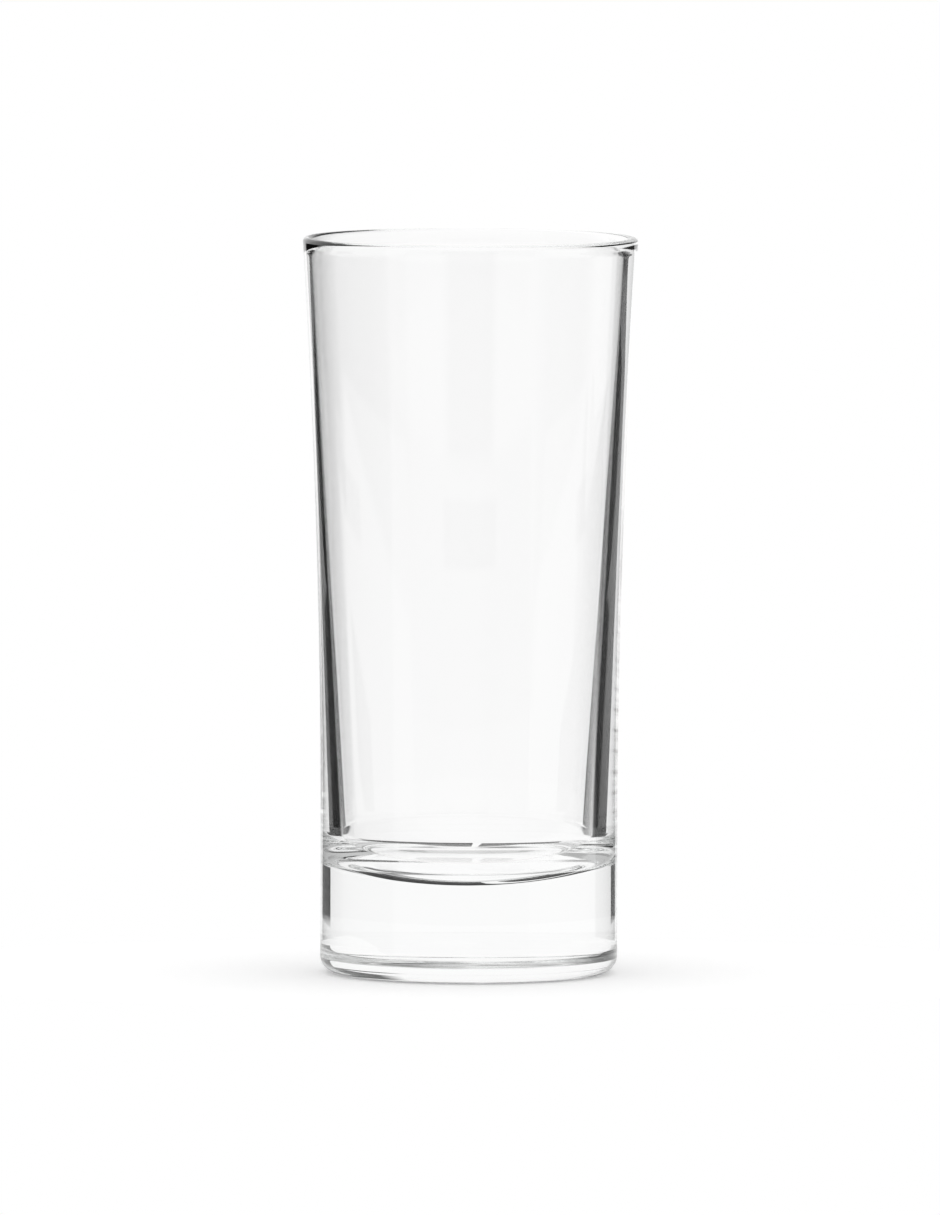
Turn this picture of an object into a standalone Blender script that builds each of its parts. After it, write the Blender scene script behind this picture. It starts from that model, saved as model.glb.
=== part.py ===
"""Highball water glass: one piece of pressed soda-lime glass with a heavy, solid base.

The glass stands on the plane z = 0 with its axis on +Z. Its whole form is one profile, drawn from
the axis under the base, round the outside, over the rim and down the inside, and turned once.
"""

import math

import bmesh
import bpy

# Driving dimensions, in metres
HEIGHT = 0.1400
RIM_DIAMETER = 0.0637
BASE_DIAMETER = 0.0565
FLARE_START_HEIGHT = 0.0270

# Underside: a shallow hollow inside a flat ring that the glass stands on
FOOT_CORNER_RADIUS = 0.0033
BEARING_RING_WIDTH = 0.0030
PUSH_UP_DEPTH = 0.0004

# Wall, measured across at the foot of the lip and at the height where the flare starts
RIM_WALL = 0.00215
HEEL_WALL = 0.0042

# Fire-polished lip: how far down it reaches, and how much thinner it is than the wall below it
LIP_DEPTH = 0.0030
LIP_THINNING = 0.0004

# Inside of the base: a shallow bowl with a wide rounded heel where it turns up into the wall
FLOOR_THICKNESS = 0.01705
BOWL_DEPTH = 0.0050
HEEL_RADIUS = 0.0077

# Facets round the axis and along each curve of the profile
TURN_FACETS = 72
PUSH_UP_FACETS = 3
FOOT_CORNER_FACETS = 6
FLARE_FACETS = 10
RIM_FACETS = 8
LIP_FACETS = 3
HEEL_FACETS = 8
BOWL_FACETS = 7
SMOOTH_ANGLE = math.radians(30)
WELD_DISTANCE = 1e-6

# Clear glass
GLASS_COLOUR = (0.95, 0.97, 0.97, 1.0)
GLASS_ROUGHNESS = 0.02
GLASS_IOR = 1.52

BASE_RADIUS = BASE_DIAMETER / 2
RIM_RADIUS = RIM_DIAMETER / 2


def clear_scene():
    for obj in list(bpy.data.objects):
        bpy.data.objects.remove(obj, do_unlink=True)


def arc(centre, radius, start, end, facets):
    """Points (r, z) on a circle from one angle to another, both ends included."""
    points = []
    for i in range(facets + 1):
        angle = start + (end - start) * i / facets
        points.append((centre[0] + radius * math.cos(angle), centre[1] + radius * math.sin(angle)))
    return points


def direction(start, end):
    return math.atan2(end[1] - start[1], end[0] - start[0])


def underside():
    """The push-up from the axis out to the bearing ring, then the ring's flat face."""
    ring_outer = BASE_RADIUS - FOOT_CORNER_RADIUS
    ring_inner = ring_outer - BEARING_RING_WIDTH
    dome_radius = (ring_inner**2 + PUSH_UP_DEPTH**2) / (2 * PUSH_UP_DEPTH)
    dome_centre = (0.0, PUSH_UP_DEPTH - dome_radius)
    top = math.pi / 2
    dome = arc(dome_centre, dome_radius, top, direction(dome_centre, (ring_inner, 0.0)), PUSH_UP_FACETS)
    return dome + [(ring_outer, 0.0)]


def foot_corner():
    centre = (BASE_RADIUS - FOOT_CORNER_RADIUS, FOOT_CORNER_RADIUS)
    return arc(centre, FOOT_CORNER_RADIUS, -math.pi / 2, 0.0, FOOT_CORNER_FACETS)


def rim_round():
    """Centre and radius of the small round on top of the lip, and where the lip's inner curve starts."""
    radius = (RIM_WALL - LIP_THINNING) / 2
    centre = (RIM_RADIUS - radius, HEIGHT - radius)
    lip_foot = (RIM_RADIUS - RIM_WALL, HEIGHT - LIP_DEPTH)
    return centre, radius, lip_foot


def flare():
    """The outer wall: upright at its start, then one long arc that runs into the round of the rim."""
    rim_centre, rim_radius, _ = rim_round()
    rise = rim_centre[1] - FLARE_START_HEIGHT
    lean = 2 * math.atan2(RIM_RADIUS - BASE_RADIUS, rise)
    radius = rise / math.sin(lean) - rim_radius
    centre = (BASE_RADIUS + radius, FLARE_START_HEIGHT)
    return arc(centre, radius, math.pi, math.pi - lean, FLARE_FACETS), lean


def inner_wall():
    """The foot of the lip, and the inner wall's slope as radius gained per height."""
    _, _, lip_foot = rim_round()
    heel_radius = BASE_RADIUS - HEEL_WALL
    slope = (lip_foot[0] - heel_radius) / (lip_foot[1] - FLARE_START_HEIGHT)
    return lip_foot, slope


def lip(lean):
    """Over the rim from the flare, then down a larger arc that meets the inner wall without an edge."""
    centre, radius, _ = rim_round()
    lip_foot, slope = inner_wall()
    draft = math.atan(slope)
    into_glass = (math.cos(draft), -math.sin(draft))
    across = (centre[0] - lip_foot[0], centre[1] - lip_foot[1])
    depth_in_glass = across[0] * into_glass[0] + across[1] * into_glass[1]
    inner_radius = (across[0] ** 2 + across[1] ** 2 - radius**2) / (2 * (depth_in_glass - radius))
    inner_centre = (
        lip_foot[0] + inner_radius * into_glass[0],
        lip_foot[1] + inner_radius * into_glass[1],
    )
    meeting = direction(inner_centre, centre)
    over = arc(centre, radius, -lean, meeting, RIM_FACETS)
    down = arc(inner_centre, inner_radius, meeting, math.pi - draft, LIP_FACETS)
    return over + down[1:]


def heel_and_bowl():
    """From the foot of the inner wall, round the heel and down the bowl to the axis."""
    lip_foot, slope = inner_wall()
    draft = math.atan(slope)
    bowl_top = FLOOR_THICKNESS + BOWL_DEPTH
    bowl_edge = lip_foot[0] - slope * (lip_foot[1] - bowl_top)
    bowl_radius = (bowl_edge**2 + BOWL_DEPTH**2) / (2 * BOWL_DEPTH)
    bowl_centre = (0.0, FLOOR_THICKNESS + bowl_radius)

    # The heel's centre lies one heel radius in from the wall and from the bowl.
    up_wall = (math.sin(draft), math.cos(draft))
    start = (
        bowl_edge - HEEL_RADIUS * math.cos(draft),
        bowl_top + HEEL_RADIUS * math.sin(draft) - bowl_centre[1],
    )
    along = start[0] * up_wall[0] + start[1] * up_wall[1]
    short = start[0] ** 2 + start[1] ** 2 - (bowl_radius - HEEL_RADIUS) ** 2
    step = -along - math.sqrt(along**2 - short)
    heel_centre = (start[0] + step * up_wall[0], bowl_centre[1] + start[1] + step * up_wall[1])

    meeting = direction(bowl_centre, heel_centre)
    heel = arc(heel_centre, HEEL_RADIUS, -draft, meeting, HEEL_FACETS)
    bowl = arc(bowl_centre, bowl_radius, meeting, -math.pi / 2, BOWL_FACETS)
    return heel + bowl[1:]


def tumbler_profile():
    wall, lean = flare()
    return underside() + foot_corner()[1:] + wall + lip(lean)[1:] + heel_and_bowl()


def turned(profile, name):
    """A closed mesh of the profile turned once round +Z."""
    bm = bmesh.new()
    verts = [bm.verts.new((r, 0.0, z)) for r, z in profile]
    edges = [bm.edges.new(ends) for ends in zip(verts, verts[1:])]
    bmesh.ops.spin(
        bm,
        geom=verts + edges,
        cent=(0.0, 0.0, 0.0),
        axis=(0.0, 0.0, 1.0),
        angle=2 * math.pi,
        steps=TURN_FACETS,
        use_merge=True,
    )
    bmesh.ops.remove_doubles(bm, verts=bm.verts, dist=WELD_DISTANCE)
    bmesh.ops.recalc_face_normals(bm, faces=bm.faces)
    mesh = bpy.data.meshes.new(name)
    bm.to_mesh(mesh)
    bm.free()
    mesh.shade_smooth()
    mesh.set_sharp_from_angle(angle=SMOOTH_ANGLE)
    return mesh


def clear_glass():
    material = bpy.data.materials.new("clear_soda_lime_glass")
    material.use_nodes = True
    shader = material.node_tree.nodes["Principled BSDF"]
    shader.inputs["Base Color"].default_value = GLASS_COLOUR
    shader.inputs["Metallic"].default_value = 0.0
    shader.inputs["Roughness"].default_value = GLASS_ROUGHNESS
    shader.inputs["IOR"].default_value = GLASS_IOR
    shader.inputs["Transmission Weight"].default_value = 1.0
    return material


def main():
    clear_scene()
    tumbler = bpy.data.objects.new("tumbler", turned(tumbler_profile(), "tumbler"))
    tumbler.data.materials.append(clear_glass())
    bpy.context.scene.collection.objects.link(tumbler)


main()
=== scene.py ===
"""Looks of the highball water glass: the turned glass, its finish and a plain white studio, with a studio
pattern painted into what the glass shows.
"""

import math

import bmesh
import bpy
from bpy.props import FloatProperty, FloatVectorProperty, IntProperty, PointerProperty
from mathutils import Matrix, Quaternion, Vector


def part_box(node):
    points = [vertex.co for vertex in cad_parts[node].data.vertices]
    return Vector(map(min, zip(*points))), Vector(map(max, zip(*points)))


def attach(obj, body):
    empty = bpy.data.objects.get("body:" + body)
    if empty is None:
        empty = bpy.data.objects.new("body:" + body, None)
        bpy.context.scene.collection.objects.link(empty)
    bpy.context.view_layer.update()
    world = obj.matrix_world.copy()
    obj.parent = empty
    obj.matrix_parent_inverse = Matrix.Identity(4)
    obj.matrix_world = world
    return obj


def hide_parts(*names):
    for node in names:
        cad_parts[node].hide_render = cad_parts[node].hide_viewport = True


bl_info = {
    "name": "Highball Water Glass",
    "version": (1, 0, 0),
    "blender": (4, 5, 0),
    "location": "3D View > Sidebar > Glass",
    "description": "Models a heavy-based highball glass and the white studio that it stands in",
    "category": "Object",
}

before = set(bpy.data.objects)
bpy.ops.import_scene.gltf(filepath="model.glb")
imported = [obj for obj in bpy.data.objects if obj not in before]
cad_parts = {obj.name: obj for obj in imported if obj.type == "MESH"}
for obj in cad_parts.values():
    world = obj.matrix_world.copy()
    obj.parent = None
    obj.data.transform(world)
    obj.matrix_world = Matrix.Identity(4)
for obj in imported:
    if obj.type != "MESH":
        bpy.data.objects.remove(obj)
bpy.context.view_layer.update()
glass_low, glass_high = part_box("tumbler")

MERGE_DISTANCE = 1e-6
# A short step beside a curve keeps the smooth shading of the straight wall next to it true.
SHORT_STEP = 0.0001
AXIS_POINT = (0.0, 0.0, 0.0)
UP = (0.0, 0.0, 1.0)
# A turn about this axis is counter-clockwise in the half plane of the profile, X out and Z up.
PROFILE_NORMAL = (0.0, -1.0, 0.0)

# Faces along each stretch of the profile
PUSH_UP_STEPS = 12
RING_STEPS = 3
UNDER_SEAM_STEPS = 24
OVER_SEAM_STEPS = 16
SEAM_FADE_STEPS = 4
BASE_STEPS = 8
FLARE_STEPS = 40
RIM_STEPS = 32
LIP_STEPS = 20
BORE_STEPS = 32
HEEL_STEPS = 36
BOWL_STEPS = 40

# White board under the glass. The glow is what it adds for the camera, in shares of white.
BOARD_SEGMENTS = 128
BOARD_DROP = 0.0001
BOARD_GLOW = 0.2

# Two cards that only the glass shows, glowing and lighting nothing: a low upright white one behind it,
# painted brightness, and a dark one in two pieces that lies on the board, a painted shadow of the glass close
# behind its base. Their pieces start and sweep in degrees, 0 behind the glass and growing to the left.
CARD_STEPS = 16
GLOWING_CARD_RADIUS = 0.045
GLOWING_CARD_HEIGHT = 0.0195
GLOWING_CARD_START = -25.8
GLOWING_CARD_SWEEP = 56.8
GLOWING_CARD_LEVEL = 1.0
PAINTED_SHADOW_CARD_INNER_RADIUS = 0.0305
PAINTED_SHADOW_CARD_RAISE = 0.0001
PAINTED_SHADOW_CARD_LEVEL = 0.02
# Start, sweep and outer radius
PAINTED_SHADOW_CARD_PIECES = ((-30.0, 25.5, 0.042), (-2.0, 32.0, 0.050))

# Painted reflection and refraction, seen only in the glass and lighting nothing. Brightness of the studio by
# compass bearing in degrees, 0 behind the glass and +90 to its right: of the white sheet behind the glass, of
# the floor beside the sheet as seen through the glass and as mirrored in it, of the walls above the floor and
# of the ground in front of the sheet.
SHEET_LEVELS = ((-30, 0.97), (-15, 1.0), (30, 1.0))
FLOOR_LEVELS = (
    (-180, 0.8),
    (-70, 0.8),
    (-66, 0.25),
    (-51, 0.25),
    (-48, 0.02),
    (0, 0.02),
    (19, 0.03),
    (48, 0.03),
    (51, 0.8),
)
SHINE_LEVELS = (
    (-180, 0.15),
    (-166, 0.15),
    (-160, 0.85),
    (-122, 0.85),
    (-118, 0.2),
    (-65, 0.2),
    (-62, 0.02),
    (-20, 0.02),
    (-18, 1.0),
    (18, 1.0),
    (20, 0.02),
    (62, 0.02),
    (65, 0.8),
    (130, 0.8),
    (134, 0.95),
    (160, 0.95),
    (166, 0.15),
)
WALL_LEVELS = (
    (-180, 0.6),
    (-122, 0.6),
    (-118, 0.4),
    (-80, 0.4),
    (-60, 1.0),
    (20, 1.0),
    (30, 0.1),
    (100, 0.1),
    (120, 0.4),
    (130, 0.4),
    (134, 0.6),
)
GROUND_LEVELS = (
    (-52, 1.0),
    (-48, 0.02),
    (-17, 0.02),
    (-14, 1.0),
    (18, 1.0),
    (21, 0.04),
    (48, 0.04),
    (52, 1.0),
)
# How far below the level the walls end, and how far below it the ground begins, in degrees by bearing
WALL_FEET = (
    (-122, 8.5),
    (-118, 0.6),
    (-65, 0.6),
    (-60, 2.3),
    (60, 2.3),
    (65, 0.6),
    (130, 0.6),
    (134, 8.5),
)
GROUND_EDGE = (
    (-54, 13.2),
    (-52, 11.4),
    (-17, 11.4),
    (-14, 13.2),
    (14, 13.2),
    (17, 11.5),
    (52, 11.5),
    (54, 13.2),
)
# Half width of the sheet behind the glass by elevation, both in degrees, on its left and on its right
SHEET_LEFT = (
    (-12.1, 29.3),
    (-11.0, 24.8),
    (-10.0, 21.8),
    (-9.0, 20.0),
    (-8.2, 18.8),
    (-6.2, 18.4),
    (-5.3, 19.5),
    (-4.7, 21.5),
    (-4.0, 23.0),
    (-3.0, 29.3),
)
SHEET_RIGHT = (
    (-12.1, 29.3),
    (-11.0, 24.8),
    (-10.0, 21.8),
    (-9.0, 20.0),
    (-7.9, 19.3),
    (-7.0, 19.3),
    (-6.2, 19.0),
    (-5.8, 19.5),
    (-4.7, 22.0),
    (-3.7, 29.3),
)
# Painted dark strips, seen only through the glass, low at the sides and in front: lowest and highest
# elevation, nearest and farthest bearing
PAINTED_DARK_STRIPS = ((-4.9, -3.55, 59.5, 80.0), (-3.7, -2.0, 160.0, 200.0))
PAINTED_STRIP_COLOUR = (0.004, 0.004, 0.004, 1)
# Below this elevation the glass shows plain white.
DEEP_ELEVATION = -21.0
# Degrees over which the edges in the studio fade
SHEET_FADE = 0.6
WALL_FADE = 0.4
GROUND_FADE = 0.5
DEEP_FADE = 0.5
STRIP_ELEVATION_FADE = 0.3
STRIP_BEARING_FADE = 2.0
# All bearings, the elevations that the widths of the sheet cover, and more than any angle, in degrees
FULL_TURN = 360
SHEET_SPAN = 60
BEYOND = 400.0

WHITE = (1, 1, 1, 1)
# A mix of colours, with its sockets
COLOUR_MIX = {"data_type": "RGBA"}
MIX_FACTOR = 0
MIX_FIRST = 6
MIX_SECOND = 7
MIX_RESULT = 2

# Light crosses the walls of the glass and turns round inside its rim many times.
GLASS_BOUNCES = 44
SENSOR_WIDTH = 36.0
CAMERA_OFFSET = 0.00008


def linear(hex_colour):
    """An sRGB hex colour as linear red, green and blue."""
    channels = []
    for start in (1, 3, 5):
        value = int(hex_colour[start : start + 2], 16) / 255
        channels.append(value / 12.92 if value <= 0.04045 else ((value + 0.055) / 1.055) ** 2.4)
    return tuple(channels)


def add_node(tree, kind, settings=None, values=None, links=None):
    """Adds a node, sets its properties and its input values, and links sockets to its inputs."""
    node = tree.nodes.new(kind)
    for name, value in (settings or {}).items():
        setattr(node, name, value)
    for name, value in (values or {}).items():
        node.inputs[name].default_value = value
    for name, socket in (links or {}).items():
        tree.links.new(socket, node.inputs[name])
    return node


def empty_tree(owner):
    owner.use_nodes = True
    owner.node_tree.nodes.clear()
    return owner.node_tree


class GlassSizes(bpy.types.PropertyGroup):
    """Sizes of the glass, in metres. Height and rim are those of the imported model."""

    height: FloatProperty(
        name="Height",
        description="Height of the glass from the table to the top of its rim",
        default=glass_high.z - glass_low.z,
        unit="LENGTH",
    )
    rim_diameter: FloatProperty(
        name="Rim diameter",
        description="Widest diameter of the rim",
        default=glass_high.x - glass_low.x,
        unit="LENGTH",
    )
    base_diameter: FloatProperty(
        name="Base diameter",
        description="Outside diameter of the upright wall of the base",
        default=0.0565,
        unit="LENGTH",
    )
    flare_start: FloatProperty(
        name="Flare start",
        description="Height up to which the outer wall stands upright",
        default=0.0270,
        unit="LENGTH",
    )
    foot_radius: FloatProperty(
        name="Foot radius",
        description="Radius of the rounded edge round the underside",
        default=0.0033,
        unit="LENGTH",
    )
    ring_width: FloatProperty(
        name="Bearing ring",
        description="Width of the flat ring that the glass stands on",
        default=0.0030,
        unit="LENGTH",
    )
    push_up: FloatProperty(
        name="Push-up",
        description="Depth of the shallow hollow inside the bearing ring",
        default=0.0004,
        unit="LENGTH",
    )
    rim_wall: FloatProperty(
        name="Rim wall",
        description="Wall thickness at the foot of the lip",
        default=0.00215,
        unit="LENGTH",
    )
    heel_wall: FloatProperty(
        name="Heel wall",
        description="Wall thickness at the height where the flare starts",
        default=0.0042,
        unit="LENGTH",
    )
    lip_depth: FloatProperty(
        name="Lip depth",
        description="How far the fire-polished lip reaches down inside",
        default=0.0030,
        unit="LENGTH",
    )
    lip_thinning: FloatProperty(
        name="Lip thinning",
        description="How much thinner the lip is than the wall below it",
        default=0.0004,
        unit="LENGTH",
    )
    floor_thickness: FloatProperty(
        name="Floor thickness",
        description="Thickness of the solid base at its middle",
        default=0.01705,
        unit="LENGTH",
    )
    bowl_depth: FloatProperty(
        name="Bowl depth",
        description="Rise of the inside bottom from its middle to the wall",
        default=0.0050,
        unit="LENGTH",
    )
    heel_radius: FloatProperty(
        name="Heel radius",
        description="Radius where the inside bottom turns up into the wall",
        default=0.0077,
        unit="LENGTH",
    )
    seam_height: FloatProperty(
        name="Mould seam",
        description="Height of the fine step that the mould leaves round the foot",
        default=0.0018,
        unit="LENGTH",
    )
    seam_step: FloatProperty(
        name="Seam step",
        description="How far the glass steps out above the mould seam",
        default=0.00003,
        unit="LENGTH",
        precision=6,
    )
    bore_shift: FloatProperty(
        name="Bore shift",
        description="How far the inside lies off the axis of the outside",
        default=0.0004,
        unit="LENGTH",
        precision=5,
    )
    turn_steps: IntProperty(
        name="Turn steps",
        description="Faces round the axis of the glass",
        default=256,
        min=24,
    )


class GlassFinish(bpy.types.PropertyGroup):
    """Finish of the clear glass."""

    tint: FloatVectorProperty(
        name="Tint",
        description="Colour that white light keeps on its way through the glass",
        default=linear("#F3F8F6"),
        subtype="COLOR",
        min=0.0,
        max=1.0,
    )
    tint_density: FloatProperty(
        name="Tint density",
        description="Absorption per metre of glass",
        default=1.2,
        min=0.0,
    )
    ior: FloatProperty(
        name="IOR",
        description="Refractive index of soda-lime glass",
        default=1.52,
        min=1.0,
    )
    ripple_size: FloatProperty(
        name="Ripple size",
        description="Width of the faint ripples that pressing leaves in the surface",
        default=0.011,
        unit="LENGTH",
    )
    ripple_height: FloatProperty(
        name="Ripple height",
        description="Height of those ripples",
        default=0.000004,
        unit="LENGTH",
        precision=6,
    )


class StageSettings(bpy.types.PropertyGroup):
    """White board and camera of the studio."""

    board_width: FloatProperty(
        name="Board width",
        description="Width of the white board under the glass, across the view",
        default=0.236,
        unit="LENGTH",
    )
    board_depth: FloatProperty(
        name="Board depth",
        description="Depth of the white board under the glass, along the view",
        default=0.15,
        unit="LENGTH",
    )
    board_colour: FloatVectorProperty(
        name="Board colour",
        description="Colour of the white board",
        default=linear("#F4F4F4"),
        subtype="COLOR",
        min=0.0,
        max=1.0,
    )
    camera_distance: FloatProperty(
        name="Camera distance",
        description="Level distance from the camera to the axis of the glass",
        default=4.2,
        unit="LENGTH",
    )
    camera_height: FloatProperty(
        name="Camera height",
        description="Height of the camera over the table",
        default=0.374,
        unit="LENGTH",
    )
    aim_height: FloatProperty(
        name="Aim height",
        description="Height on the axis that lies in the middle of the picture",
        default=0.0695,
        unit="LENGTH",
    )
    lens: FloatProperty(
        name="Lens",
        description="Focal length for a long side of 36 mm",
        default=656.5,
        unit="CAMERA",
    )
    roll: FloatProperty(
        name="Roll",
        description="Slight turn of the camera about its line of sight",
        default=math.radians(0.16),
        subtype="ANGLE",
    )


def line_to(bm, pen, point, steps):
    """Runs the pen straight to a point in even steps and returns the vertex that it ends on."""
    stride = (Vector((point[0], 0.0, point[1])) - pen.co) / steps
    for _ in range(steps):
        start = pen.co.copy()
        pen = bmesh.ops.extrude_vert_indiv(bm, verts=[pen])["verts"][0]
        pen.co = start + stride
    return pen


def arc_about(bm, pen, centre, turn, steps):
    """Swings the pen about a centre by an angle and returns the vertex that it ends on."""
    swung = bmesh.ops.spin(
        bm,
        geom=[pen],
        cent=(centre[0], 0.0, centre[1]),
        axis=PROFILE_NORMAL,
        angle=turn,
        steps=steps,
    )
    return swung["geom_last"][0]


def direction(start, end):
    return math.atan2(end[1] - start[1], end[0] - start[0])


def smoothstep(share):
    return share * share * (3 - 2 * share)


def draw_underside(bm, sizes):
    """The push-up, the bearing ring and the rounded edge of the foot. Returns the pen on the outer wall."""
    base_radius = sizes.base_diameter / 2
    ring_outer = base_radius - sizes.foot_radius
    ring_inner = ring_outer - sizes.ring_width
    dome_radius = (ring_inner**2 + sizes.push_up**2) / (2 * sizes.push_up)
    pen = bm.verts.new((0.0, 0.0, sizes.push_up))
    half_angle = math.asin(ring_inner / dome_radius)
    pen = arc_about(bm, pen, (0.0, sizes.push_up - dome_radius), -half_angle, PUSH_UP_STEPS)
    pen = line_to(bm, pen, (ring_outer, 0.0), RING_STEPS)

    # The bottom plate of the mould leaves a fine step round the edge of the foot.
    corner = (ring_outer, sizes.foot_radius)
    seam = math.asin(1 - sizes.seam_height / sizes.foot_radius)
    pen = arc_about(bm, pen, corner, math.pi / 2 - seam, UNDER_SEAM_STEPS)
    ledge = sizes.foot_radius + sizes.seam_step
    pen = line_to(bm, pen, (corner[0] + ledge * math.cos(-seam), corner[1] + ledge * math.sin(-seam)), 1)
    pen = arc_about(bm, pen, corner, seam, OVER_SEAM_STEPS)
    pen = line_to(bm, pen, (pen.co.x, pen.co.z + SHORT_STEP), 1)
    pen = line_to(bm, pen, (base_radius, 2 * sizes.foot_radius), SEAM_FADE_STEPS)
    return line_to(bm, pen, (base_radius, sizes.flare_start), BASE_STEPS)


def draw_wall_and_rim(bm, pen, sizes):
    """The flare, the round of the rim and the lip. Returns the pen, the draft of the inner wall and the
    number of the first vertex of the rim."""
    base_radius = sizes.base_diameter / 2
    rim_radius = sizes.rim_diameter / 2
    round_radius = (sizes.rim_wall - sizes.lip_thinning) / 2
    round_centre = (rim_radius - round_radius, sizes.height - round_radius)
    rise = round_centre[1] - sizes.flare_start
    lean = 2 * math.atan2(rim_radius - base_radius, rise)
    flare_radius = rise / math.sin(lean) - round_radius
    pen = arc_about(bm, pen, (base_radius + flare_radius, sizes.flare_start), -lean, FLARE_STEPS)

    lip_foot = (rim_radius - sizes.rim_wall, sizes.height - sizes.lip_depth)
    inner_run = lip_foot[0] - (base_radius - sizes.heel_wall)
    draft = math.atan(inner_run / (lip_foot[1] - sizes.flare_start))
    into_glass = (math.cos(draft), -math.sin(draft))
    across = (round_centre[0] - lip_foot[0], round_centre[1] - lip_foot[1])
    depth = across[0] * into_glass[0] + across[1] * into_glass[1]
    lip_radius = (across[0] ** 2 + across[1] ** 2 - round_radius**2) / (2 * (depth - round_radius))
    lip_centre = (lip_foot[0] + lip_radius * into_glass[0], lip_foot[1] + lip_radius * into_glass[1])
    meeting = direction(lip_centre, round_centre)
    first = len(bm.verts)
    pen = arc_about(bm, pen, round_centre, meeting + lean, RIM_STEPS)
    pen = arc_about(bm, pen, lip_centre, math.pi - draft - meeting, LIP_STEPS)
    return pen, draft, first


def draw_inside(bm, pen, draft, sizes):
    """The tapered inner wall, the heel and the bowl, from the foot of the lip down to the axis."""
    slope = math.tan(draft)
    bowl_top = sizes.floor_thickness + sizes.bowl_depth
    bowl_edge = pen.co.x - slope * (pen.co.z - bowl_top)
    bowl_radius = (bowl_edge**2 + sizes.bowl_depth**2) / (2 * sizes.bowl_depth)
    bowl_centre = (0.0, sizes.floor_thickness + bowl_radius)

    # The heel's centre lies one heel radius in from the wall and from the bowl.
    radius = sizes.heel_radius
    start = (bowl_edge - radius * math.cos(draft), bowl_top + radius * math.sin(draft) - bowl_centre[1])
    along = start[0] * math.sin(draft) + start[1] * math.cos(draft)
    beyond = start[0] ** 2 + start[1] ** 2 - (bowl_radius - radius) ** 2
    step = -along - math.sqrt(along**2 - beyond)
    heel_centre = (start[0] + step * math.sin(draft), bowl_centre[1] + start[1] + step * math.cos(draft))
    heel_top = (heel_centre[0] + radius * math.cos(draft), heel_centre[1] - radius * math.sin(draft))
    meeting = direction(bowl_centre, heel_centre)
    pen = line_to(bm, pen, (pen.co.x - slope * SHORT_STEP, pen.co.z - SHORT_STEP), 1)
    pen = line_to(bm, pen, (heel_top[0] + slope * SHORT_STEP, heel_top[1] + SHORT_STEP), BORE_STEPS)
    pen = line_to(bm, pen, heel_top, 1)
    pen = arc_about(bm, pen, heel_centre, meeting + draft, HEEL_STEPS)
    arc_about(bm, pen, bowl_centre, -math.pi / 2 - meeting, BOWL_STEPS)


def pressed_soda_lime_glass(finish):
    """Pressed soda-lime glass, fire-polished: clear, mirror smooth and sharp to look through, with
    faint broad ripples that bend straight lines a little and a trace of green where it is thick."""
    material = bpy.data.materials.new("pressed_soda_lime_glass")
    tree = empty_tree(material)
    place = add_node(tree, "ShaderNodeTexCoord")
    ripples = add_node(
        tree,
        "ShaderNodeTexNoise",
        values={"Scale": 1 / finish.ripple_size, "Detail": 1.0, "Roughness": 0.4},
        links={"Vector": place.outputs["Object"]},
    )
    relief = add_node(
        tree,
        "ShaderNodeBump",
        values={"Strength": 1.0, "Distance": finish.ripple_height},
        links={"Height": ripples.outputs["Fac"]},
    )
    shader = add_node(
        tree,
        "ShaderNodeBsdfPrincipled",
        values={"Roughness": 0.0, "IOR": finish.ior, "Transmission Weight": 1.0, "Base Color": WHITE},
        links={"Normal": relief.outputs["Normal"]},
    )
    depth = add_node(
        tree,
        "ShaderNodeVolumeAbsorption",
        values={"Color": (*finish.tint, 1.0), "Density": finish.tint_density},
    )
    add_node(
        tree,
        "ShaderNodeOutputMaterial",
        links={"Surface": shader.outputs["BSDF"], "Volume": depth.outputs["Volume"]},
    )
    return material


class MakeTumbler(bpy.types.Operator):
    """Turns the glass from its profile and gives it the finish of clear pressed glass"""

    bl_idname = "glassware.make_tumbler"
    bl_label = "Make Glass"
    bl_options = {"REGISTER", "UNDO"}

    def execute(self, context):
        sizes = context.scene.glass_sizes
        bm = bmesh.new()
        pen = draw_underside(bm, sizes)
        pen, draft, first = draw_wall_and_rim(bm, pen, sizes)
        draw_inside(bm, pen, draft, sizes)
        inside = bm.verts.layers.float.new("inside")
        bm.verts.ensure_lookup_table()
        for vert in bm.verts[first:]:
            across = (sizes.rim_diameter / 2 - vert.co.x) / (sizes.rim_wall - sizes.lip_thinning)
            vert[inside] = smoothstep(min(1.0, max(0.0, across)))
        bmesh.ops.spin(
            bm,
            geom=bm.verts[:] + bm.edges[:],
            cent=AXIS_POINT,
            axis=UP,
            angle=2 * math.pi,
            steps=sizes.turn_steps,
            use_merge=True,
        )
        bmesh.ops.remove_doubles(bm, verts=bm.verts, dist=MERGE_DISTANCE)
        bmesh.ops.recalc_face_normals(bm, faces=bm.faces)
        # The plunger of the press never stands quite in the middle of the mould.
        for vert in bm.verts:
            vert.co.x -= sizes.bore_shift * vert[inside]
        bm.verts.layers.float.remove(inside)
        mesh = bpy.data.meshes.new("water_glass")
        bm.to_mesh(mesh)
        bm.free()
        mesh.shade_smooth()
        glass = bpy.data.objects.new("water_glass", mesh)
        context.scene.collection.objects.link(glass)
        mesh.materials.append(pressed_soda_lime_glass(context.scene.glass_finish))
        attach(glass, "root")
        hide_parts("tumbler")
        return {"FINISHED"}


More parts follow.
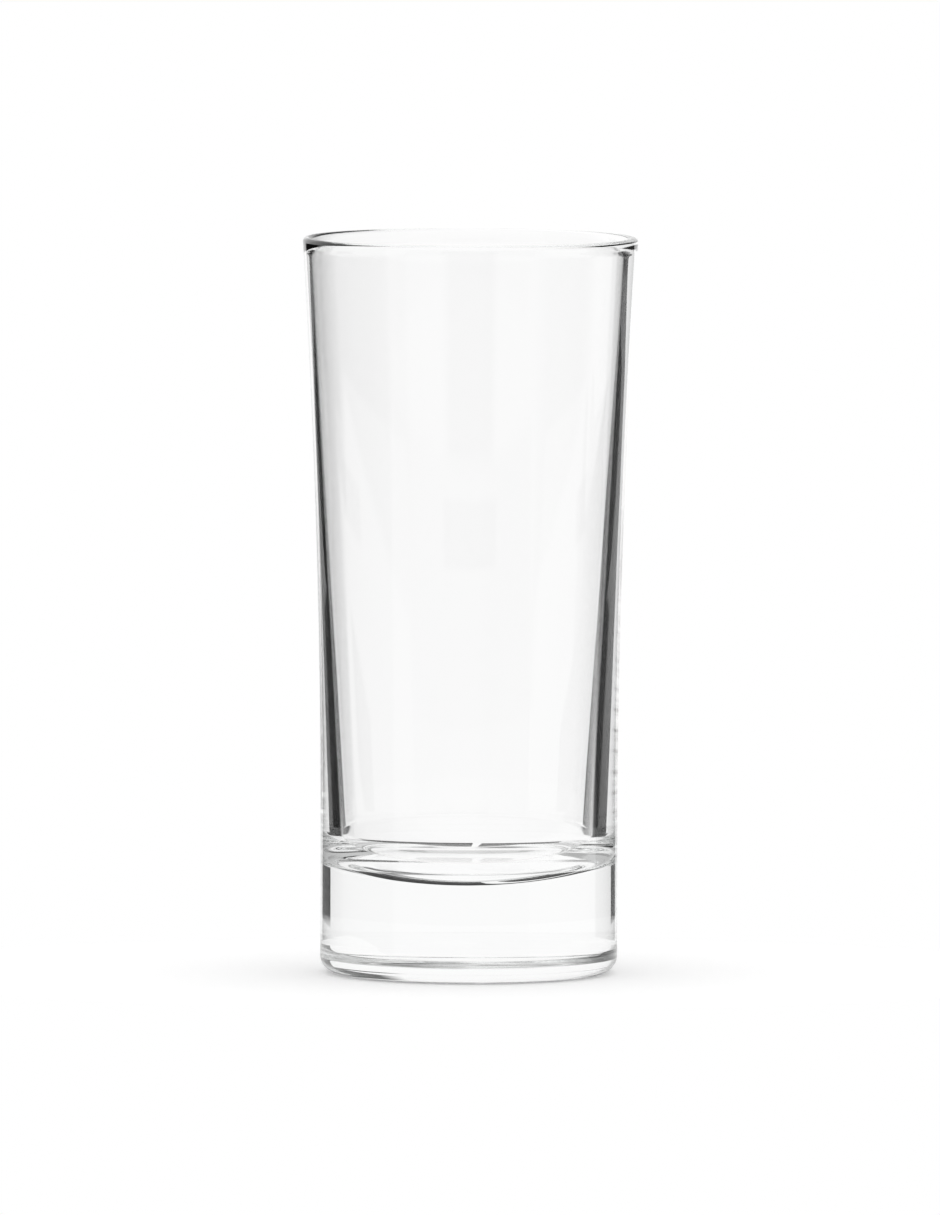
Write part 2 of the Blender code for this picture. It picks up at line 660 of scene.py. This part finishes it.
def between(tree, value, low, high, soft):
    """A socket that is 1 where value lies between low and high and fades to 0 over soft outside."""
    rising = add_node(
        tree,
        "ShaderNodeMapRange",
        {"interpolation_type": "SMOOTHSTEP"},
        {"From Min": low - soft, "From Max": low, "To Min": 0.0, "To Max": 1.0},
        {"Value": value},
    )
    falling = add_node(
        tree,
        "ShaderNodeMapRange",
        {"interpolation_type": "SMOOTHSTEP"},
        {"From Min": high, "From Max": high + soft, "To Min": 1.0, "To Max": 0.0},
        {"Value": value},
    )
    both = add_node(
        tree,
        "ShaderNodeMath",
        {"operation": "MULTIPLY"},
        links={0: rising.outputs["Result"], 1: falling.outputs["Result"]},
    )
    return both.outputs[0]


def white_board(stage):
    """Matt white board: white to look at, with the soft shadow of the glass, and pure white through it."""
    material = bpy.data.materials.new("matt_white_board")
    tree = empty_tree(material)
    rays = add_node(tree, "ShaderNodeLightPath")
    lift = add_node(
        tree,
        "ShaderNodeMath",
        {"operation": "MULTIPLY"},
        {1: BOARD_GLOW},
        {0: rays.outputs["Is Camera Ray"]},
    )
    glow = add_node(tree, "ShaderNodeEmission", values={"Color": WHITE}, links={"Strength": lift.outputs[0]})
    matt = add_node(tree, "ShaderNodeBsdfDiffuse", values={"Color": (*stage.board_colour, 1.0)})
    lit = add_node(tree, "ShaderNodeAddShader", links={0: glow.outputs[0], 1: matt.outputs[0]})
    through_glass = add_node(tree, "ShaderNodeEmission", values={"Color": WHITE, "Strength": 1.0})
    board = add_node(
        tree,
        "ShaderNodeMixShader",
        links={
            "Fac": rays.outputs["Is Transmission Ray"],
            1: lit.outputs[0],
            2: through_glass.outputs[0],
        },
    )
    add_node(tree, "ShaderNodeOutputMaterial", links={"Surface": board.outputs[0]})
    return material


def emission_card(name, level):
    """Emission card, painted light and shade that lights nothing, the same from everywhere: white at level 1,
    black at 0.
    """
    material = bpy.data.materials.new(name)
    tree = empty_tree(material)
    glow = add_node(tree, "ShaderNodeEmission", values={"Color": WHITE, "Strength": level})
    add_node(tree, "ShaderNodeOutputMaterial", links={"Surface": glow.outputs[0]})
    return material


def levels_along(tree, angle, stops, span):
    """A value read from (degrees, value) stops by an angle that ranges over span degrees, 0 in the middle."""
    place = add_node(
        tree,
        "ShaderNodeMapRange",
        values={"From Min": -span / 2, "From Max": span / 2},
        links={"Value": angle},
    )
    ramp = add_node(tree, "ShaderNodeValToRGB", links={"Fac": place.outputs["Result"]})
    elements = ramp.color_ramp.elements
    while len(elements) > 1:
        elements.remove(elements[-1])
    for number, (degrees, level) in enumerate(stops):
        position = degrees / span + 0.5
        if number == 0:
            element = elements[0]
            element.position = position
        else:
            element = elements.new(position)
        element.color = (level, level, level, 1.0)
    return ramp.outputs["Color"]


def painted_glass_surround():
    """A painted studio that only the glass mirrors and lets through, and that lights nothing: a white sheet
    behind the glass, a floor that is dark beside the sheet, walls above the floor, and ground in front of the
    sheet.

    The camera and the light on the board get plain white. The glass shows the sheet, and the dark floor
    beside it as dark lines along its sides: painted reflection and refraction."""
    world = bpy.data.worlds.new("painted_glass_surround")
    tree = empty_tree(world)
    rays = add_node(tree, "ShaderNodeLightPath")
    through_glass = rays.outputs["Is Transmission Ray"]
    place = add_node(tree, "ShaderNodeTexCoord")
    parts = add_node(tree, "ShaderNodeSeparateXYZ", links={"Vector": place.outputs["Generated"]})
    turn = add_node(
        tree,
        "ShaderNodeMath",
        {"operation": "ARCTAN2"},
        links={0: parts.outputs["X"], 1: parts.outputs["Y"]},
    )
    azimuth = add_node(tree, "ShaderNodeMath", {"operation": "DEGREES"}, links={0: turn.outputs[0]})
    bearing = azimuth.outputs[0]
    side = add_node(tree, "ShaderNodeMath", {"operation": "ABSOLUTE"}, links={0: bearing})
    rise = add_node(tree, "ShaderNodeMath", {"operation": "ARCSINE"}, links={0: parts.outputs["Z"]})
    height = add_node(tree, "ShaderNodeMath", {"operation": "DEGREES"}, links={0: rise.outputs[0]})
    elevation = height.outputs[0]

    # The sheet behind the glass is narrowest a little below the level.
    on_right = add_node(tree, "ShaderNodeMath", {"operation": "GREATER_THAN"}, {1: 0.0}, {0: bearing})
    half_width = add_node(
        tree,
        "ShaderNodeMix",
        COLOUR_MIX,
        links={
            MIX_FACTOR: on_right.outputs[0],
            MIX_FIRST: levels_along(tree, elevation, SHEET_LEFT, SHEET_SPAN),
            MIX_SECOND: levels_along(tree, elevation, SHEET_RIGHT, SHEET_SPAN),
        },
    )
    from_edge = add_node(
        tree,
        "ShaderNodeMath",
        {"operation": "SUBTRACT"},
        links={0: side.outputs[0], 1: half_width.outputs[MIX_RESULT]},
    )
    floor = add_node(
        tree,
        "ShaderNodeMix",
        COLOUR_MIX,
        links={
            MIX_FACTOR: through_glass,
            MIX_FIRST: levels_along(tree, bearing, SHINE_LEVELS, FULL_TURN),
            MIX_SECOND: levels_along(tree, bearing, FLOOR_LEVELS, FULL_TURN),
        },
    )
    belt = add_node(
        tree,
        "ShaderNodeMix",
        COLOUR_MIX,
        links={
            MIX_FACTOR: between(tree, from_edge.outputs[0], 0.0, BEYOND, SHEET_FADE),
            MIX_FIRST: levels_along(tree, bearing, SHEET_LEVELS, FULL_TURN),
            MIX_SECOND: floor.outputs[MIX_RESULT],
        },
    )

    # The walls stand over the floor, and the ground lies under it.
    over_foot = add_node(
        tree,
        "ShaderNodeMath",
        {"operation": "ADD"},
        links={0: elevation, 1: levels_along(tree, bearing, WALL_FEET, FULL_TURN)},
    )
    walled = add_node(
        tree,
        "ShaderNodeMix",
        COLOUR_MIX,
        links={
            MIX_FACTOR: between(tree, over_foot.outputs[0], WALL_FADE / 2, BEYOND, WALL_FADE),
            MIX_FIRST: belt.outputs[MIX_RESULT],
            MIX_SECOND: levels_along(tree, bearing, WALL_LEVELS, FULL_TURN),
        },
    )
    over_edge = add_node(
        tree,
        "ShaderNodeMath",
        {"operation": "ADD"},
        links={0: elevation, 1: levels_along(tree, bearing, GROUND_EDGE, FULL_TURN)},
    )
    grounded = add_node(
        tree,
        "ShaderNodeMix",
        COLOUR_MIX,
        links={
            MIX_FACTOR: between(tree, over_edge.outputs[0], -BEYOND, -GROUND_FADE / 2, GROUND_FADE),
            MIX_FIRST: walled.outputs[MIX_RESULT],
            MIX_SECOND: levels_along(tree, bearing, GROUND_LEVELS, FULL_TURN),
        },
    )

    # The dark strips are painted dark lines, seen only through the glass.
    striped = grounded
    for lowest, highest, nearest, farthest in PAINTED_DARK_STRIPS:
        strip = add_node(
            tree,
            "ShaderNodeMath",
            {"operation": "MULTIPLY"},
            links={
                0: between(tree, elevation, lowest, highest, STRIP_ELEVATION_FADE),
                1: between(tree, side.outputs[0], nearest, farthest, STRIP_BEARING_FADE),
            },
        )
        seen_strip = add_node(
            tree,
            "ShaderNodeMath",
            {"operation": "MULTIPLY"},
            links={0: strip.outputs[0], 1: through_glass},
        )
        striped = add_node(
            tree,
            "ShaderNodeMix",
            COLOUR_MIX,
            {MIX_SECOND: PAINTED_STRIP_COLOUR},
            {MIX_FACTOR: seen_strip.outputs[0], MIX_FIRST: striped.outputs[MIX_RESULT]},
        )

    # Only rays that the glass mirrors or lets through see the painted studio; the camera and the light on the
    # board see plain white.
    shiny = add_node(
        tree,
        "ShaderNodeMath",
        {"operation": "MAXIMUM"},
        links={0: rays.outputs["Is Glossy Ray"], 1: through_glass},
    )
    deep = between(tree, elevation, -BEYOND, DEEP_ELEVATION, DEEP_FADE)
    above_deep = add_node(tree, "ShaderNodeMath", {"operation": "SUBTRACT"}, {0: 1.0}, {1: deep})
    shown = add_node(
        tree,
        "ShaderNodeMath",
        {"operation": "MULTIPLY"},
        links={0: shiny.outputs[0], 1: above_deep.outputs[0]},
    )
    surround = add_node(
        tree,
        "ShaderNodeMix",
        COLOUR_MIX,
        {MIX_FIRST: WHITE},
        {MIX_FACTOR: shown.outputs[0], MIX_SECOND: striped.outputs[MIX_RESULT]},
    )
    glow = add_node(
        tree,
        "ShaderNodeBackground",
        values={"Strength": 1.0},
        links={"Color": surround.outputs[MIX_RESULT]},
    )
    add_node(tree, "ShaderNodeOutputWorld", links={"Surface": glow.outputs[0]})
    return world


class MakeStage(bpy.types.Operator):
    """Sets the white board, the cards and the surround that are painted into what the glass shows, and the
    camera
    """

    bl_idname = "glassware.make_stage"
    bl_label = "Make Stage"
    bl_options = {"REGISTER", "UNDO"}

    def execute(self, context):
        scene = context.scene
        stage = scene.glass_stage
        self.lay_board(scene, stage)
        self.stand_glowing_card(scene)
        self.lay_painted_shadow_card(scene)
        scene.world = painted_glass_surround()
        self.set_camera(scene, stage)
        scene.view_settings.view_transform = "Standard"
        scene.cycles.max_bounces = GLASS_BOUNCES
        scene.cycles.glossy_bounces = GLASS_BOUNCES
        scene.cycles.transmission_bounces = GLASS_BOUNCES
        return {"FINISHED"}

    def lay_board(self, scene, stage):
        bm = bmesh.new()
        bmesh.ops.create_circle(bm, cap_ends=True, segments=BOARD_SEGMENTS, radius=stage.board_width / 2)
        bmesh.ops.scale(bm, verts=bm.verts, vec=(1.0, stage.board_depth / stage.board_width, 1.0))
        mesh = bpy.data.meshes.new("white_board")
        bm.to_mesh(mesh)
        bm.free()
        mesh.materials.append(white_board(stage))
        board = bpy.data.objects.new("white_board", mesh)
        board.location.z = -BOARD_DROP
        scene.collection.objects.link(board)

    def stand_glowing_card(self, scene):
        # A low white card that glows and lights nothing: painted brightness that only the glass shows.
        bm = bmesh.new()
        start = math.radians(GLOWING_CARD_START)
        foot = bm.verts.new((-GLOWING_CARD_RADIUS * math.sin(start), GLOWING_CARD_RADIUS * math.cos(start), 0.0))
        bmesh.ops.spin(
            bm,
            geom=[foot],
            cent=AXIS_POINT,
            axis=UP,
            angle=math.radians(GLOWING_CARD_SWEEP),
            steps=CARD_STEPS,
        )
        raised = bmesh.ops.extrude_edge_only(bm, edges=bm.edges[:])
        for part in raised["geom"]:
            if isinstance(part, bmesh.types.BMVert):
                part.co.z = GLOWING_CARD_HEIGHT
        self.place_card(scene, bm, "low_glowing_card", GLOWING_CARD_LEVEL)

    def lay_painted_shadow_card(self, scene):
        # A near-black card on the board close behind the base of the glass: a painted shadow that only the
        # glass shows.
        bm = bmesh.new()
        for start, sweep, reach in PAINTED_SHADOW_CARD_PIECES:
            away = Vector((-math.sin(math.radians(start)), math.cos(math.radians(start)), 0.0))
            raise_up = Vector((0.0, 0.0, PAINTED_SHADOW_CARD_RAISE))
            inner = bm.verts.new(away * PAINTED_SHADOW_CARD_INNER_RADIUS + raise_up)
            outer = bm.verts.new(away * reach + raise_up)
            edge = bm.edges.new((inner, outer))
            bmesh.ops.spin(
                bm,
                geom=[inner, outer, edge],
                cent=AXIS_POINT,
                axis=UP,
                angle=math.radians(sweep),
                steps=CARD_STEPS,
            )
        self.place_card(scene, bm, "painted_shadow_card", PAINTED_SHADOW_CARD_LEVEL)

    def place_card(self, scene, bm, name, level):
        mesh = bpy.data.meshes.new(name)
        bm.to_mesh(mesh)
        bm.free()
        mesh.materials.append(emission_card(name, level))
        card = bpy.data.objects.new(name, mesh)
        # Painted light and shade: the glass shows the cards, but the camera does not, and they light nothing
        # and cast no shadow.
        card.visible_camera = False
        card.visible_diffuse = False
        card.visible_shadow = False
        scene.collection.objects.link(card)

    def set_camera(self, scene, stage):
        data = bpy.data.cameras.new("camera")
        data.sensor_width = SENSOR_WIDTH
        data.lens = stage.lens
        camera = bpy.data.objects.new("camera", data)
        camera.location = (CAMERA_OFFSET, -stage.camera_distance, stage.camera_height)
        sight = Vector((camera.location.x, 0.0, stage.aim_height)) - camera.location
        camera.rotation_mode = "QUATERNION"
        camera.rotation_quaternion = sight.to_track_quat("-Z", "Y") @ Quaternion(UP, stage.roll)
        scene.collection.objects.link(camera)
        scene.camera = camera


class GlassPanel(bpy.types.Panel):
    """Sidebar panel with the sizes, the finish, the stage and the operators"""

    bl_idname = "VIEW3D_PT_highball_glass"
    bl_label = "Highball Water Glass"
    bl_space_type = "VIEW_3D"
    bl_region_type = "UI"
    bl_category = "Glass"

    def draw(self, context):
        scene = context.scene
        for group in (scene.glass_sizes, scene.glass_finish, scene.glass_stage):
            box = self.layout.box()
            for name in group.__annotations__:
                box.prop(group, name)
        self.layout.operator(MakeTumbler.bl_idname)
        self.layout.operator(MakeStage.bl_idname)


CLASSES = (GlassSizes, GlassFinish, StageSettings, MakeTumbler, MakeStage, GlassPanel)


def register():
    for cls in CLASSES:
        bpy.utils.register_class(cls)
    bpy.types.Scene.glass_sizes = PointerProperty(type=GlassSizes)
    bpy.types.Scene.glass_finish = PointerProperty(type=GlassFinish)
    bpy.types.Scene.glass_stage = PointerProperty(type=StageSettings)


def unregister():
    del bpy.types.Scene.glass_stage
    del bpy.types.Scene.glass_finish
    del bpy.types.Scene.glass_sizes
    for cls in reversed(CLASSES):
        bpy.utils.unregister_class(cls)


def main():
    register()
    bpy.ops.glassware.make_tumbler()
    bpy.ops.glassware.make_stage()


if __name__ == "__main__":
    main()
